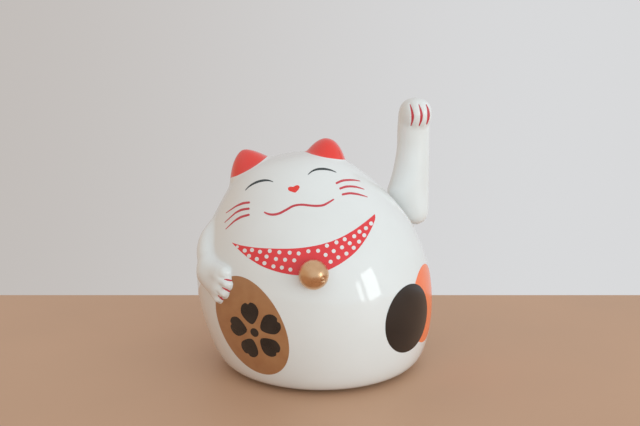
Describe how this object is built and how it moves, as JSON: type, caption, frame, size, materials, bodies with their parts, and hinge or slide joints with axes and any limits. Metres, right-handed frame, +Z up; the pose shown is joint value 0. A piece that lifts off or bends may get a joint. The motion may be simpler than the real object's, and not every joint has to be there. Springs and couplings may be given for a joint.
{
  "type": "waving cat figurine",
  "caption": "Egg-shaped glazed ceramic cat figurine with a hollow body, battery-driven pendulum mechanism and a raised arm that swings to wave.",
  "frame": {"origin": "centre of the underside of the foot ring, on the surface the figurine stands on", "axes": "+Z up, -Y towards the front (the face), +X towards the cat's left, the side of the raised arm"},
  "size_m": [0.123, 0.1269, 0.1348],
  "materials": {
    "glaze_white": "gloss",
    "gold_paint": "satin metallic",
    "foam_black": "matte",
    "grey_plastic": "matte",
    "zinc_steel": "bright zinc",
    "cell_wrap": "printed sleeve",
    "board_green": "satin",
    "bobbin_plastic": "matte",
    "copper_wire": "enamelled",
    "black_plastic": "satin",
    "wire_red": "satin",
    "bronze": "satin",
    "white_plastic": "gloss",
    "magnet_nickel": "nickel plate",
    "weight_steel": "plain turned"
  },
  "bodies": {
    "figure": {"body_shell": "glaze_white", "bell": "gold_paint", "foot_ring": "foam_black", "mounting_ring": "grey_plastic", "base_plate": "grey_plastic", "base_screws": "zinc_steel", "battery_cell": "cell_wrap", "battery_spring": "zinc_steel", "battery_contact": "zinc_steel", "pivot_frame": "white_plastic", "frame_screws": "zinc_steel", "circuit_board": "board_green", "coil_bobbin": "bobbin_plastic", "drive_coil": "copper_wire", "board_parts": "black_plastic", "lead_wires": "wire_red", "bearing_bushes": "bronze"},
    "door": {"battery_door": "grey_plastic"},
    "pendulum": {"axle": "zinc_steel", "arm_hub": "grey_plastic", "waving_arm": "white_plastic", "pendulum_lever": "grey_plastic", "pendulum_magnet": "magnet_nickel", "balance_weight": "weight_steel", "retaining_clips": "zinc_steel"}
  },
  "joints": [
    {"name": "arm_swing", "type": "hinge", "parent": "figure", "child": "pendulum", "pos_m": [-0.00395, 0.01858, 0.0728], "axis": [0.9781, 0.2079, 0], "range_deg": [-18, 18]},
    {"name": "door_release", "type": "slide", "parent": "figure", "child": "door", "axis": [0, 0, -1], "range_m": [0, 0.03]}
  ]
}
